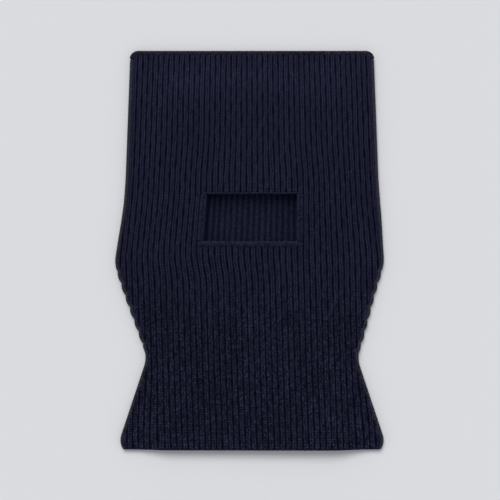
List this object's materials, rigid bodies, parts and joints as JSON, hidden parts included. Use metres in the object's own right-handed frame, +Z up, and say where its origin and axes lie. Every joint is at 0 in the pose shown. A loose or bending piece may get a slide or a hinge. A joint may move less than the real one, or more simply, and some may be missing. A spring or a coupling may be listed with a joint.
{
  "type": "balaclava",
  "caption": "Knitted rib balaclava lying flat, with one wide face opening, a shaped neck and an open hem.",
  "frame": {"origin": "on the floor, under the centre of the bounding box of the garment lying flat on its back panel", "axes": "+Y from the neck hem to the crown, +X to the viewer's right when the face opening is looked at, +Z up, out of the face opening"},
  "size_m": [0.255, 0.378, 0.0147],
  "materials": {
    "navy_rib": "thick two-by-two rib in dark navy wool-blend yarn, matt with a faint fuzz",
    "linking_seam": "linked chain of the same navy yarn",
    "edging": "bound-off edge of the same navy yarn",
    "label_ribbon": "blank woven ribbon"
  },
  "bodies": {
    "root": {"front_panel": "navy_rib", "back_panel": "navy_rib", "left_side_seam": "linking_seam", "right_side_seam": "linking_seam", "crown_seam": "linking_seam", "front_hem_welt": "navy_rib", "back_hem_welt": "navy_rib", "opening_edge_top": "edging", "opening_edge_bottom": "edging", "opening_edge_left": "edging", "opening_edge_right": "edging", "neck_label": "label_ribbon"}
  },
  "joints": []
}
